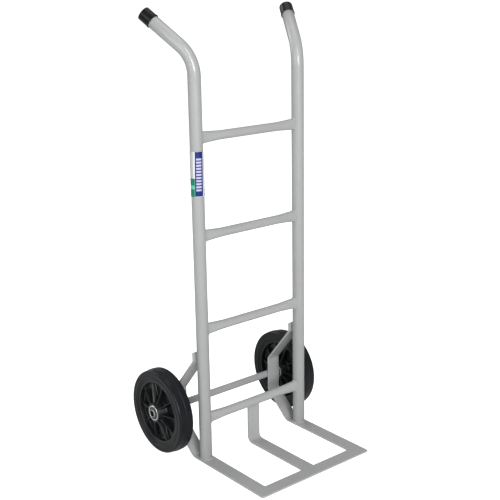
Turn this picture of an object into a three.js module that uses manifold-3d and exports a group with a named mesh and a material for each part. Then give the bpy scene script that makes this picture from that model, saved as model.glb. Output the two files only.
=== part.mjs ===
// A two-wheeled hand truck: two bent tube uprights, four crossbars, a toe frame of flat bar
// and a pair of solid-tyred wheels that run on ball bearings on a tubular axle.
//
// Millimetres, +Z up. The toe frame points along -Y and the wheels are behind the uprights.
// The origin lies on the floor, in the middle of the truck's outline seen from above.

import * as THREE from 'three';
import { mergeVertices } from 'three/addons/utils/BufferGeometryUtils.js';
import Module from 'manifold-3d';

// Clearance between pieces that touch.
const GAP = 0.3;

// Uprights: round tube, bent back and outwards at the top into the two handles.
const UPRIGHT_RADIUS = 15.9;
const UPRIGHT_WALL = 1.6;
const UPRIGHT_SPACING = 322.6;
const BEND_START = 980;
const BEND_RADIUS = 87.6;
const BEND_ANGLE = THREE.MathUtils.degToRad( 51.6 );
const HANDLE_SPLAY = THREE.MathUtils.degToRad( 28.5 );
const GRIP_LENGTH = 114;

// Crossbars: thinner tube, pressed taller and flatter at each end.
const CROSSBAR_RADIUS = 11.3;
const CROSSBAR_WALL = 1.5;
const CROSSBAR_COUNT = 4;
const LOWEST_CROSSBAR = 114.5;
const CROSSBAR_PITCH = 240.2;
const PRESSED_LENGTH = 6;
const PRESSED_TAPER = 50;
const PRESSED_HEIGHT = 1.26;
const PRESSED_DEPTH = 0.78;
const SADDLE_LENGTH = 60;

// Toe frame and wheel brackets: flat bar.
const BAR_WIDTH = 38.1;
const BAR_THICKNESS = 4.8;
const FRONT_BAR_WIDTH = 36;
const TOE_REACH = 248;
const TOE_CORNER_RADIUS = 4;
const CENTRE_STRAP_SETBACK = 1.7;
const CENTRE_STRAP_BEND = 15;

// Side view of a wheel bracket: how far it stands back from the uprights, and its bend heights.
const BRACKET_SETBACK = 106.4;
const BRACKET_FOOT_SETBACK = 30.7;
const BRACKET_LOWER_BEND = 70.5;
const BRACKET_UPPER_BEND = 164;
const BRACKET_TAB_BEND = 269.3;
const BRACKET_TOP = 293;
const BRACKET_FOOT_RADIUS = 24;
const BRACKET_BEND_RADIUS = 9;

// Axle and wheels.
const AXLE_RADIUS = 9.525;
const AXLE_WALL = 1.6;
const AXLE_OVERHANG = 1.8;
const WHEEL_RADIUS = 112;
const TYRE_HALF_WIDTH = 20.5;
const TYRE_SHOULDER = 5;
const TREAD_CROWN = 0.8;
const TYRE_BEAD_HEIGHT = 4;
const TYRE_BEAD_INSET = 2.9;
const RIM_RADIUS = 84;
const RIM_HALF_WIDTH = 17;
const RIM_DEPTH = 5;
const WEB_HALF_THICKNESS = 3.5;
const BARREL_WALL = 4.4;
const BARREL_FLARE = 4;
const BARREL_BORE = 14;
const BARREL_SETBACK = 0.5;
const DISH_DRAFT = 2;
const RIB_COUNT = 10;
const RIB_THICKNESS = 3.2;
const RIB_SETBACK = 6;
const RIB_ROOT = 1;
const RIB_TIP = 2;
const RIB_FIRST_ANGLE = THREE.MathUtils.degToRad( 38 );

// Ball bearings: two in each wheel, with a sleeve between their inner races.
const BEARING_RADIUS = 20;
const BEARING_WIDTH = 12;
const OUTER_LAND = 16.9;
const INNER_LAND = 12.4;
const BALL_RADIUS = 3.2;
const BALL_COUNT = 7;
const BALL_CLEARANCE = 0.25;
const CAGE_THICKNESS = 1.4;
const CAGE_HALF_WIDTH = 3;
const SEAL_THICKNESS = 0.8;
const SEAL_INSET = 0.4;
const SEAL_CLEARANCE = 0.3;
const SLEEVE_RADIUS = 12;
const SLEEVE_LENGTH = 33.2;
const WASHER_RADIUS = 15;
const RING_RADIUS = 12.8;
const WASHER_THICKNESS = 1.5;

// Handle caps: black moulded cups pushed over the tube ends.
const CAP_RADIUS = 18;
const CAP_SKIRT = 28;
const CAP_FLOOR = 3.6;
const CAP_EDGE = 3;
const CAP_EDGE_EASE = 0.9;

// Label wrapped round the left upright, open at the back.
const LABEL_BOTTOM = 697;
const LABEL_HEIGHT = 108;
const LABEL_THICKNESS = 0.4;
const LABEL_HALF_WRAP = THREE.MathUtils.degToRad( 150 );

// Facets.
const TUBE_SIDES = 16;
const SADDLE_SIDES = 32;
const CAP_SIDES = 20;
const WHEEL_SIDES = 36;
const HUB_SIDES = 30;
const BEARING_SIDES = 16;
const SHOULDER_STEPS = 3;
const LABEL_STEPS = 8;
const CORNER_STEPS = 2;
const HANDLE_BEND_STEPS = 7;
const BRACKET_BEND_STEPS = 3;
const CENTRE_BEND_STEPS = 5;

// Places that follow from the sizes above. The uprights stand at y = 0 inside the truck group.
const UPRIGHT_X = UPRIGHT_SPACING / 2;
const UPRIGHT_FOOT = BAR_THICKNESS + GAP;
const BAR_MIDDLE = BAR_THICKNESS / 2;
const TOE_WIDTH = UPRIGHT_SPACING + BAR_WIDTH;
const FRONT_BAR_BACK = FRONT_BAR_WIDTH - TOE_REACH;
const AXLE_Y = BRACKET_SETBACK + BAR_MIDDLE + GAP + AXLE_RADIUS;
const AXLE_Z = WHEEL_RADIUS;
const BRACKET_OUTSIDE = TOE_WIDTH / 2;
const WASHER_X = BRACKET_OUTSIDE + GAP + WASHER_THICKNESS / 2;
const BARREL_LENGTH = 2 * BEARING_WIDTH + SLEEVE_LENGTH + 2 * GAP;
const WHEEL_X = BRACKET_OUTSIDE + 2 * GAP + WASHER_THICKNESS + BARREL_LENGTH / 2;
const BEARING_OFFSET = ( BARREL_LENGTH - BEARING_WIDTH ) / 2;
const RING_X = WHEEL_X + BARREL_LENGTH / 2 + GAP + WASHER_THICKNESS / 2;
const AXLE_END = RING_X + WASHER_THICKNESS / 2 + AXLE_OVERHANG;
const BALL_PITCH = ( OUTER_LAND + INNER_LAND ) / 2;

const paint = { color: 0xb9bbbc, roughness: 0.42, metalness: 0 };
const blackVinyl = { color: 0x141516, roughness: 0.3, metalness: 0 };
const blackRubber = { color: 0x1c1e20, roughness: 0.6, metalness: 0 };
const blackPlastic = { color: 0x17191b, roughness: 0.35, metalness: 0 };
const bearingSteel = { color: 0xc9cbcc, roughness: 0.25, metalness: 1 };
const zincSteel = { color: 0xa9abad, roughness: 0.4, metalness: 1 };
const labelFilm = { color: 0x2f6fae, roughness: 0.35, metalness: 0 };

const wasm = await Module();
wasm.setup();

const handTruck = new THREE.Group();
const truck = new THREE.Group();
truck.position.y = ( TOE_REACH - AXLE_Y - WHEEL_RADIUS ) / 2;
handTruck.add( truck );

function addPiece( parent, name, geometry, finish ) {

	const mesh = new THREE.Mesh( geometry, new THREE.MeshStandardMaterial( finish ) );
	mesh.name = name;
	parent.add( mesh );
	return mesh;

}

// ---- Booleans ----

function toSolid( geometry ) {

	const bare = geometry.clone();
	bare.deleteAttribute( 'normal' );
	bare.deleteAttribute( 'uv' );
	const merged = mergeVertices( bare );
	const vertProperties = merged.attributes.position.array;
	const triVerts = Uint32Array.from( merged.index.array );
	return new wasm.Manifold( new wasm.Mesh( { numProp: 3, vertProperties, triVerts } ) );

}

function toGeometry( solid ) {

	const mesh = solid.getMesh();
	const geometry = new THREE.BufferGeometry();
	geometry.setAttribute( 'position', new THREE.BufferAttribute( mesh.vertProperties, 3 ) );
	geometry.setIndex( new THREE.BufferAttribute( mesh.triVerts, 1 ) );
	geometry.computeVertexNormals();
	return geometry;

}

function join( first, others ) {

	const solid = others.reduce( ( sum, other ) => sum.add( toSolid( other ) ), toSolid( first ) );
	return toGeometry( solid );

}

function cut( body, tools ) {

	const solid = tools.reduce( ( rest, tool ) => rest.subtract( toSolid( tool ) ), toSolid( body ) );
	return toGeometry( solid );

}

// ---- Sweeps ----

// A path of straight runs joined by arcs. It is sampled only at the stations given,
// so a long straight run costs one step.
class StationPath extends THREE.Curve {

	constructor( stations ) {

		super();
		this.stations = stations;

	}

	station( u ) {

		return this.stations[ Math.round( u * ( this.stations.length - 1 ) ) ];

	}

	getPoint( u, target = new THREE.Vector3() ) {

		return target.copy( this.station( u ).point );

	}

	getPointAt( u, target ) {

		return this.getPoint( u, target );

	}

	getTangentAt( u, target = new THREE.Vector3() ) {

		return target.copy( this.station( u ).tangent );

	}

}

// Stations along a polyline whose inner corners are rounded to the given radii.
function roundedPath( corners, radii, arcSteps ) {

	const direction = ( from, to ) => new THREE.Vector3().subVectors( to, from ).normalize();
	const stations = [ { point: corners[ 0 ], tangent: direction( corners[ 0 ], corners[ 1 ] ) } ];
	for ( let i = 1; i < corners.length - 1; i ++ ) {

		const before = direction( corners[ i - 1 ], corners[ i ] );
		const after = direction( corners[ i ], corners[ i + 1 ] );
		const turn = before.angleTo( after );
		const radius = radii[ i - 1 ];
		const start = corners[ i ].clone().addScaledVector( before, - radius * Math.tan( turn / 2 ) );
		const axis = new THREE.Vector3().crossVectors( before, after ).normalize();
		const inward = new THREE.Vector3().crossVectors( axis, before );
		const centre = start.clone().addScaledVector( inward, radius );
		for ( let k = 0; k <= arcSteps; k ++ ) {

			const angle = turn * k / arcSteps;
			const spoke = inward.clone().multiplyScalar( - radius ).applyAxisAngle( axis, angle );
			stations.push( {
				point: centre.clone().add( spoke ),
				tangent: before.clone().applyAxisAngle( axis, angle ),
			} );

		}

	}

	const last = corners.length - 1;
	stations.push( { point: corners[ last ], tangent: direction( corners[ last - 1 ], corners[ last ] ) } );
	return new StationPath( stations );

}

function sweep( section, path ) {

	return new THREE.ExtrudeGeometry( section, {
		steps: path.stations.length - 1,
		curveSegments: TUBE_SIDES / 2,
		extrudePath: path,
	} );

}

function tubeSection( radius, wall ) {

	const section = new THREE.Shape().absarc( 0, 0, radius, 0, 2 * Math.PI );
	section.holes.push( new THREE.Path().absarc( 0, 0, radius - wall, 0, 2 * Math.PI, true ) );
	return section;

}

// Thickness along the section's x, which the sweep turns towards the inside of a bend.
function barSection() {

	return new THREE.Shape()
		.moveTo( - BAR_MIDDLE, - BAR_WIDTH / 2 )
		.lineTo( BAR_MIDDLE, - BAR_WIDTH / 2 )
		.lineTo( BAR_MIDDLE, BAR_WIDTH / 2 )
		.lineTo( - BAR_MIDDLE, BAR_WIDTH / 2 );

}

// ---- Turned pieces, with their axis along X ----

// Corners are [ radius, x ] pairs, up the outside and down the inside.
function turned( corners, sides ) {

	const profile = [ ...corners, corners[ 0 ] ].map( ( [ r, x ] ) => new THREE.Vector2( r, x ) );
	return new THREE.LatheGeometry( profile, sides ).rotateZ( - Math.PI / 2 );

}

function ring( innerRadius, outerRadius, halfWidth, sides ) {

	return turned( [
		[ outerRadius, - halfWidth ],
		[ outerRadius, halfWidth ],
		[ innerRadius, halfWidth ],
		[ innerRadius, - halfWidth ],
	], sides );

}

// The radius of a faceted bore that clears a round piece of the given radius.
function boreFor( radius, sides ) {

	return ( radius + GAP ) / Math.cos( Math.PI / sides );

}

// ---- Frame ----

const gripDirection = ( side ) => new THREE.Vector3(
	side * Math.sin( HANDLE_SPLAY ) * Math.sin( BEND_ANGLE ),
	Math.cos( HANDLE_SPLAY ) * Math.sin( BEND_ANGLE ),
	Math.cos( BEND_ANGLE ),
);

function gripEnd( side ) {

	const run = BEND_RADIUS * Math.tan( BEND_ANGLE / 2 ) + GRIP_LENGTH;
	const corner = new THREE.Vector3( side * UPRIGHT_X, 0, bendCorner() );
	return corner.addScaledVector( gripDirection( side ), run );

}

function bendCorner() {

	return BEND_START + BEND_RADIUS * Math.tan( BEND_ANGLE / 2 );

}

function uprightGeometry( side ) {

	const corners = [
		new THREE.Vector3( side * UPRIGHT_X, 0, UPRIGHT_FOOT ),
		new THREE.Vector3( side * UPRIGHT_X, 0, bendCorner() ),
		gripEnd( side ),
	];
	const path = roundedPath( corners, [ BEND_RADIUS ], HANDLE_BEND_STEPS );
	return sweep( tubeSection( UPRIGHT_RADIUS, UPRIGHT_WALL ), path );

}

function crossbarGeometry() {

	const along = new THREE.Vector3( 1, 0, 0 );
	const end = UPRIGHT_X - UPRIGHT_RADIUS / 2;
	const face = UPRIGHT_X - UPRIGHT_RADIUS;
	const pressed = face - PRESSED_LENGTH;
	const round = pressed - PRESSED_TAPER;
	const places = [ - end, - pressed, - round, round, pressed, end ];
	const stations = places.map( ( x ) => ( { point: new THREE.Vector3( x, 0, 0 ), tangent: along } ) );
	const tube = sweep( tubeSection( CROSSBAR_RADIUS, CROSSBAR_WALL ), new StationPath( stations ) );
	const place = tube.attributes.position;
	for ( let i = 0; i < place.count; i ++ ) {

		const amount = THREE.MathUtils.clamp( ( Math.abs( place.getX( i ) ) - round ) / PRESSED_TAPER, 0, 1 );
		place.setY( i, place.getY( i ) * THREE.MathUtils.lerp( 1, PRESSED_DEPTH, amount ) );
		place.setZ( i, place.getZ( i ) * THREE.MathUtils.lerp( 1, PRESSED_HEIGHT, amount ) );

	}

	const reach = UPRIGHT_RADIUS + GAP;
	const saddles = [ - 1, 1 ].map( ( side ) => {

		const saddle = new THREE.CylinderGeometry( reach, reach, SADDLE_LENGTH, SADDLE_SIDES );
		return saddle.rotateX( Math.PI / 2 ).translate( side * UPRIGHT_X, 0, 0 );

	} );
	return cut( tube, saddles );

}

function sideStrapGeometry( side ) {

	const tab = UPRIGHT_RADIUS + GAP + BAR_MIDDLE;
	const corners = [
		[ FRONT_BAR_BACK + GAP, BAR_MIDDLE ],
		[ BRACKET_FOOT_SETBACK, BAR_MIDDLE ],
		[ BRACKET_SETBACK, BRACKET_LOWER_BEND ],
		[ BRACKET_SETBACK, BRACKET_UPPER_BEND ],
		[ tab, BRACKET_TAB_BEND ],
		[ tab, BRACKET_TOP ],
	].map( ( [ y, z ] ) => new THREE.Vector3( side * UPRIGHT_X, y, z ) );
	const radii = [ BRACKET_FOOT_RADIUS, BRACKET_BEND_RADIUS, BRACKET_BEND_RADIUS, BRACKET_BEND_RADIUS ];
	return sweep( barSection(), roundedPath( corners, radii, BRACKET_BEND_STEPS ) );

}

function centreStrapGeometry() {

	const corners = [
		[ FRONT_BAR_BACK + GAP, BAR_MIDDLE ],
		[ CENTRE_STRAP_SETBACK, BAR_MIDDLE ],
		[ CENTRE_STRAP_SETBACK, LOWEST_CROSSBAR - CROSSBAR_RADIUS - GAP ],
	].map( ( [ y, z ] ) => new THREE.Vector3( 0, y, z ) );
	return sweep( barSection(), roundedPath( corners, [ CENTRE_STRAP_BEND ], CENTRE_BEND_STEPS ) );

}

function frontBarGeometry() {

	const half = TOE_WIDTH / 2;
	const corner = TOE_CORNER_RADIUS;
	const outline = new THREE.Shape()
		.moveTo( - half, FRONT_BAR_BACK )
		.lineTo( - half, corner - TOE_REACH )
		.absarc( corner - half, corner - TOE_REACH, corner, Math.PI, 1.5 * Math.PI )
		.absarc( half - corner, corner - TOE_REACH, corner, 1.5 * Math.PI, 2 * Math.PI )
		.lineTo( half, FRONT_BAR_BACK );
	return new THREE.ExtrudeGeometry( outline, {
		depth: BAR_THICKNESS,
		bevelEnabled: false,
		curveSegments: CORNER_STEPS,
	} );

}

function capGeometry() {

	const bore = boreFor( UPRIGHT_RADIUS, TUBE_SIDES );
	const end = GAP + CAP_FLOOR;
	const profile = [
		[ CAP_RADIUS, - CAP_SKIRT ],
		[ CAP_RADIUS, end - CAP_EDGE ],
		[ CAP_RADIUS - CAP_EDGE_EASE, end - CAP_EDGE_EASE ],
		[ CAP_RADIUS - CAP_EDGE, end ],
		[ 0, end ],
		[ 0, GAP ],
		[ bore, GAP ],
		[ bore, - CAP_SKIRT ],
		[ CAP_RADIUS, - CAP_SKIRT ],
	].map( ( [ r, along ] ) => new THREE.Vector2( r, along ) );
	return new THREE.LatheGeometry( profile, CAP_SIDES );

}

function labelGeometry() {

	const inner = UPRIGHT_RADIUS + GAP;
	const outer = inner + LABEL_THICKNESS;
	const front = - Math.PI / 2;
	const section = new THREE.Shape()
		.absarc( 0, 0, outer, front - LABEL_HALF_WRAP, front + LABEL_HALF_WRAP )
		.absarc( 0, 0, inner, front + LABEL_HALF_WRAP, front - LABEL_HALF_WRAP, true );
	return new THREE.ExtrudeGeometry( section, {
		depth: LABEL_HEIGHT,
		bevelEnabled: false,
		curveSegments: LABEL_STEPS,
	} );

}

for ( const [ name, side ] of [ [ 'left', - 1 ], [ 'right', 1 ] ] ) {

	addPiece( truck, `${ name }_upright`, uprightGeometry( side ), paint );
	addPiece( truck, `${ name }_side_strap`, sideStrapGeometry( side ), paint );
	const cap = addPiece( truck, `${ name }_handle_cap`, capGeometry(), blackVinyl );
	cap.position.copy( gripEnd( side ) );
	cap.quaternion.setFromUnitVectors( new THREE.Vector3( 0, 1, 0 ), gripDirection( side ) );

}

for ( let i = 0; i < CROSSBAR_COUNT; i ++ ) {

	const crossbar = addPiece( truck, `crossbar_${ i + 1 }`, crossbarGeometry(), paint );
	crossbar.position.z = LOWEST_CROSSBAR + i * CROSSBAR_PITCH;

}

addPiece( truck, 'toe_front_bar', frontBarGeometry(), paint );
addPiece( truck, 'toe_centre_strap', centreStrapGeometry(), paint );

const label = addPiece( truck, 'label', labelGeometry(), labelFilm );
label.position.set( - UPRIGHT_X, 0, LABEL_BOTTOM );

const axleTube = ring( AXLE_RADIUS - AXLE_WALL, AXLE_RADIUS, AXLE_END, BEARING_SIDES );
const axle = addPiece( truck, 'axle', axleTube, paint );
axle.position.set( 0, AXLE_Y, AXLE_Z );

// ---- Wheels: modelled about the wheel's centre, with the outboard side along +X ----

function tyreGeometry() {

	const bore = boreFor( RIM_RADIUS, WHEEL_SIDES );
	const half = TYRE_HALF_WIDTH;
	const tread = WHEEL_RADIUS - TREAD_CROWN;
	const shoulder = ( turn ) => [
		tread - TYRE_SHOULDER * ( 1 - Math.cos( turn ) ),
		half - TYRE_SHOULDER * ( 1 - Math.sin( turn ) ),
	];
	const rightHalf = [];
	for ( let k = 0; k <= SHOULDER_STEPS; k ++ ) {

		rightHalf.push( shoulder( Math.PI / 2 * k / SHOULDER_STEPS ) );

	}

	rightHalf.push( [ bore + TYRE_BEAD_HEIGHT, half ], [ bore, half - TYRE_BEAD_INSET ] );
	const leftHalf = rightHalf.map( ( [ r, x ] ) => [ r, - x ] ).reverse();
	return turned( [ ...leftHalf, [ WHEEL_RADIUS, 0 ], ...rightHalf ], WHEEL_SIDES );

}

function hubGeometry() {

	const end = BARREL_LENGTH / 2 - BARREL_SETBACK;
	const seatRadius = boreFor( BEARING_RADIUS, BEARING_SIDES );
	const seatDepth = BARREL_LENGTH / 2 - BEARING_WIDTH - GAP;
	const barrel = seatRadius + BARREL_WALL;
	const recess = RIM_RADIUS - RIM_DEPTH;
	const rightHalf = [
		[ RIM_RADIUS, RIM_HALF_WIDTH ],
		[ recess, RIM_HALF_WIDTH ],
		[ recess - DISH_DRAFT, WEB_HALF_THICKNESS ],
		[ barrel + BARREL_FLARE, WEB_HALF_THICKNESS ],
		[ barrel, end ],
		[ seatRadius, end ],
		[ seatRadius, seatDepth ],
		[ BARREL_BORE, seatDepth ],
	];
	const leftHalf = rightHalf.map( ( [ r, x ] ) => [ r, - x ] ).reverse();
	const body = turned( [ ...leftHalf, ...rightHalf ], HUB_SIDES );

	const root = barrel - RIB_ROOT;
	const tip = RIM_RADIUS - RIB_TIP;
	const rib = new THREE.Shape()
		.moveTo( root, RIB_SETBACK - end )
		.lineTo( tip, RIB_SETBACK - RIM_HALF_WIDTH )
		.lineTo( tip, RIM_HALF_WIDTH - RIB_SETBACK )
		.lineTo( root, end - RIB_SETBACK );
	const ribs = [];
	for ( let i = 0; i < RIB_COUNT; i ++ ) {

		const blade = new THREE.ExtrudeGeometry( rib, { depth: RIB_THICKNESS, bevelEnabled: false } );
		blade.translate( 0, 0, - RIB_THICKNESS / 2 ).rotateZ( - Math.PI / 2 );
		blade.rotateX( RIB_FIRST_ANGLE + i * 2 * Math.PI / RIB_COUNT );
		ribs.push( blade );

	}

	return join( body, ribs );

}

function outerRaceGeometry() {

	const half = BEARING_WIDTH / 2;
	const groove = BALL_PITCH + BALL_RADIUS + BALL_CLEARANCE;
	return turned( [
		[ BEARING_RADIUS, - half ],
		[ BEARING_RADIUS, half ],
		[ OUTER_LAND, half ],
		[ OUTER_LAND, BALL_RADIUS ],
		[ groove, BALL_RADIUS / 2 ],
		[ groove, - BALL_RADIUS / 2 ],
		[ OUTER_LAND, - BALL_RADIUS ],
		[ OUTER_LAND, - half ],
	], BEARING_SIDES );

}

function innerRaceGeometry() {

	const half = BEARING_WIDTH / 2;
	const groove = BALL_PITCH - BALL_RADIUS - BALL_CLEARANCE;
	const bore = boreFor( AXLE_RADIUS, BEARING_SIDES );
	return turned( [
		[ INNER_LAND, - half ],
		[ INNER_LAND, - BALL_RADIUS ],
		[ groove, - BALL_RADIUS / 2 ],
		[ groove, BALL_RADIUS / 2 ],
		[ INNER_LAND, BALL_RADIUS ],
		[ INNER_LAND, half ],
		[ bore, half ],
		[ bore, - half ],
	], BEARING_SIDES );

}

function ballCageGeometry() {

	const half = CAGE_THICKNESS / 2;
	const cage = ring( BALL_PITCH - half, BALL_PITCH + half, CAGE_HALF_WIDTH, 2 * BALL_COUNT );
	const balls = [];
	for ( let i = 0; i < BALL_COUNT; i ++ ) {

		const ball = new THREE.IcosahedronGeometry( BALL_RADIUS ).translate( 0, BALL_PITCH, 0 );
		balls.push( ball.rotateX( i * 2 * Math.PI / BALL_COUNT ) );

	}

	return join( cage, balls );

}

function addBearing( wheel, name, x ) {

	addPiece( wheel, `${ name }_outer_race`, outerRaceGeometry(), bearingSteel ).position.x = x;
	addPiece( wheel, `${ name }_inner_race`, innerRaceGeometry(), bearingSteel ).position.x = x;
	addPiece( wheel, `${ name }_ball_cage`, ballCageGeometry(), zincSteel ).position.x = x;
	const place = ( BEARING_WIDTH - SEAL_THICKNESS ) / 2 - SEAL_INSET;
	for ( const [ face, side ] of [ [ 'inboard', - 1 ], [ 'outboard', 1 ] ] ) {

		const seal = ring(
			INNER_LAND + SEAL_CLEARANCE,
			OUTER_LAND - SEAL_CLEARANCE,
			SEAL_THICKNESS / 2,
			BEARING_SIDES,
		);
		addPiece( wheel, `${ name }_${ face }_seal`, seal, blackRubber ).position.x = x + side * place;

	}

}

function addWheel( name, side ) {

	const wheel = new THREE.Group();
	wheel.position.set( side * WHEEL_X, AXLE_Y, AXLE_Z );
	wheel.rotation.y = side > 0 ? 0 : Math.PI;
	truck.add( wheel );

	addPiece( wheel, `${ name }_tyre`, tyreGeometry(), blackRubber );
	addPiece( wheel, `${ name }_hub`, hubGeometry(), blackPlastic );
	addBearing( wheel, `${ name }_outboard_bearing`, BEARING_OFFSET );
	addBearing( wheel, `${ name }_inboard_bearing`, - BEARING_OFFSET );

	const bore = boreFor( AXLE_RADIUS, BEARING_SIDES );
	const sleeve = ring( bore, SLEEVE_RADIUS, SLEEVE_LENGTH / 2, BEARING_SIDES );
	addPiece( wheel, `${ name }_bearing_sleeve`, sleeve, zincSteel );
	const washer = ring( bore, WASHER_RADIUS, WASHER_THICKNESS / 2, BEARING_SIDES );
	addPiece( wheel, `${ name }_axle_washer`, washer, zincSteel ).position.x = WASHER_X - WHEEL_X;
	const retainer = ring( bore, RING_RADIUS, WASHER_THICKNESS / 2, BEARING_SIDES );
	addPiece( wheel, `${ name }_retaining_ring`, retainer, zincSteel ).position.x = RING_X - WHEEL_X;

}

addWheel( 'left', - 1 );
addWheel( 'right', 1 );

export default handTruck;
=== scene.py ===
import math
import bpy
import bmesh
from mathutils import Matrix, Vector


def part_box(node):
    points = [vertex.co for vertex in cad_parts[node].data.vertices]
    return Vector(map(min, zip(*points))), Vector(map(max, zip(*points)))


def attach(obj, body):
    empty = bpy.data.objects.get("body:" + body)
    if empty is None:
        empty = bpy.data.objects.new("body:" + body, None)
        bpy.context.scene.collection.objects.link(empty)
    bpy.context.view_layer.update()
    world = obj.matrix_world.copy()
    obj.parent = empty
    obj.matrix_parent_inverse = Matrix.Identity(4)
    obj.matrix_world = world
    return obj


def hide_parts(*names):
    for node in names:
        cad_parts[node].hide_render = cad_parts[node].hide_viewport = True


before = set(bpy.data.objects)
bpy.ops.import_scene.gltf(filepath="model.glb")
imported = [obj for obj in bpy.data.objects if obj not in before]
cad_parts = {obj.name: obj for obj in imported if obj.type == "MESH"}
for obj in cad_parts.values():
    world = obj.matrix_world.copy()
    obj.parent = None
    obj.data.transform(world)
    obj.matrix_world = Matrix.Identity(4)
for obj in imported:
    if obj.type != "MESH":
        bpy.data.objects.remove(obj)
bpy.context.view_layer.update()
scene = bpy.context.scene
sides = dict(left=-1, right=1)


def middle(node):
    low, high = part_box(node)
    return (low + high) / 2


# places that the CAD model sets
uprightY = middle("crossbar_1").y
uprightX = middle("right_side_strap").x
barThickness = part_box("toe_front_bar")[1].z
axleCentre = middle("axle")
wheelCentre = middle("right_tyre")
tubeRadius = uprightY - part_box("right_upright")[0].y
crossbarLow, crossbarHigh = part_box("crossbar_1")
crossbarRadius = (crossbarHigh - crossbarLow).y / 2
print("frame loaded")

# camera first

camera = dict(
    place=(-1.50694, -1.82597, 1.20677), azimuth=-39.338, elevation=15.898, roll=-1.004,
    lens=70.04, sensor=36.0, farthest=200.0,
)


def makeCamera(spec):
    data = bpy.data.cameras.new("camera")
    data.lens = spec["lens"]
    data.sensor_width = spec["sensor"]
    data.clip_end = spec["farthest"]
    turn = Matrix.Identity(3)
    for angle, axis in ((spec["azimuth"], "Z"), (90 - spec["elevation"], "X"), (spec["roll"], "Z")):
        turn = turn @ Matrix.Rotation(math.radians(angle), 3, axis)
    cam = bpy.data.objects.new("camera", data)
    cam.matrix_world = Matrix.Translation(spec["place"]) @ turn.to_4x4()
    scene.collection.objects.link(cam)
    scene.camera = cam


makeCamera(camera)
print("camera placed")


# mesh helpers

def settle(piece, body, slotName, *nodes):
    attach(piece, body)
    if nodes:
        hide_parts(*nodes)


def finishMesh(name, bm, material, roles=None, sharpAngle=32):
    # roles are the body, the slot and the CAD node
    bmesh.ops.remove_doubles(bm, verts=bm.verts, dist=1e-6)
    bmesh.ops.recalc_face_normals(bm, faces=bm.faces)
    for face in bm.faces:
        face.smooth = True
    for edge in bm.edges:
        if len(edge.link_faces) == 2 and edge.calc_face_angle() > math.radians(sharpAngle):
            edge.smooth = False
    mesh = bpy.data.meshes.new(name)
    bm.to_mesh(mesh)
    bm.free()
    mesh.materials.append(material)
    piece = bpy.data.objects.new(name, mesh)
    scene.collection.objects.link(piece)
    if roles:
        settle(piece, *roles)
    return piece


def skinOf(rings, closed=True):
    # joins loops of points; closed joins the last loop to the first, otherwise both ends get a face
    bm = bmesh.new()
    loops = [[bm.verts.new(point) for point in ring] for ring in rings]
    for here, there in zip(loops, loops[1:] + loops[:1] if closed else loops[1:]):
        for j in range(len(here)):
            k = (j + 1) % len(here)
            bm.faces.new((here[j], here[k], there[k], there[j]))
    if not closed:
        bm.faces.new(loops[0])
        bm.faces.new(loops[-1])
    return bm


def rounded(corners, steps=4, closed=True):
    # corners are (x, y, radius); each becomes an arc that takes less than half of the sides beside it
    points = []
    count = len(corners)
    for i, (x, y, radius) in enumerate(corners):
        here = Vector((x, y))
        if radius <= 0 or not closed and i in (0, count - 1):
            points.append(here)
            continue
        before, after = (Vector(corners[(i + way) % count][:2]) - here for way in (-1, 1))
        half = before.angle(after) / 2
        reach = min(radius / math.tan(half), 0.48 * before.length, 0.48 * after.length)
        bisector = (before.normalized() + after.normalized()).normalized()
        centre = here + bisector * (reach / math.cos(half))
        start, end = (here + side.normalized() * reach - centre for side in (before, after))
        turn = start.angle(end)
        for k in range(steps + 1):
            shares = [math.sin(way * turn) / math.sin(turn) for way in (1 - k / steps, k / steps)]
            points.append(centre + start * shares[0] + end * shares[1])
    return points


def route(corners, radii, stepAngle=4.0, runIn=0.003):
    # stations (point, tangent) along straight runs joined by arcs, with one more beside each arc
    corners = [Vector(c) for c in corners]
    tangent = (corners[1] - corners[0]).normalized()
    stations = [(corners[0], tangent)]
    for i, radius in enumerate(radii, 1):
        before = (corners[i] - corners[i - 1]).normalized()
        after = (corners[i + 1] - corners[i]).normalized()
        turn = before.angle(after)
        axis = before.cross(after).normalized()
        inward = axis.cross(before)
        start = corners[i] - before * (radius * math.tan(turn / 2))
        centre = start + inward * radius
        steps = max(3, math.ceil(math.degrees(turn) / stepAngle))
        stations.append((start - before * runIn, before))
        for k in range(steps + 1):
            spin = Matrix.Rotation(turn * k / steps, 3, axis)
            stations.append((centre - spin @ inward * radius, spin @ before))
        stations.append((stations[-1][0] + after * runIn, after))
    stations.append((corners[-1], (corners[-1] - corners[-2]).normalized()))
    return stations


def sweep(stations, section, across):
    # one ring of points per station; across is the section's first axis, carried along the path
    rings = []
    lastTangent = stations[0][1]
    for point, tangent in stations:
        across = lastTangent.rotation_difference(tangent) @ across
        lastTangent = tangent
        other = tangent.cross(across)
        rings.append([point + across * s.x + other * s.y for s in section])
    return rings


def circle(radius, count):
    angles = [2 * math.pi * j / count for j in range(count)]
    return [Vector((radius * math.cos(angle), radius * math.sin(angle))) for angle in angles]


def turnedRings(profile, count):
    # profile points are (radius, x); the axis is X through the origin
    return [[Vector((x, p.x, p.y)) for p in circle(radius, count)] for radius, x in profile]


def placeMesh(bm, centre, side=1):
    # the outboard side of a wheel piece is +X as modelled
    if side < 0:
        bm.transform(Matrix.Rotation(math.pi, 4, "Y"))
    bm.transform(Matrix.Translation(centre))


# node helpers

def feed(socket, value):
    # a socket takes either another node's output or a fixed value
    if isinstance(value, bpy.types.NodeSocket):
        socket.id_data.links.new(value, socket)
    else:
        socket.default_value = value


def addNode(tree, kind, fed=None, **settings):
    # settings go on the node, fed holds what its inputs get
    node = tree.nodes.new(kind)
    for key, value in settings.items():
        setattr(node, key, value)
    for key, value in (fed or {}).items():
        feed(node.inputs[key], value)
    return node


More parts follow.
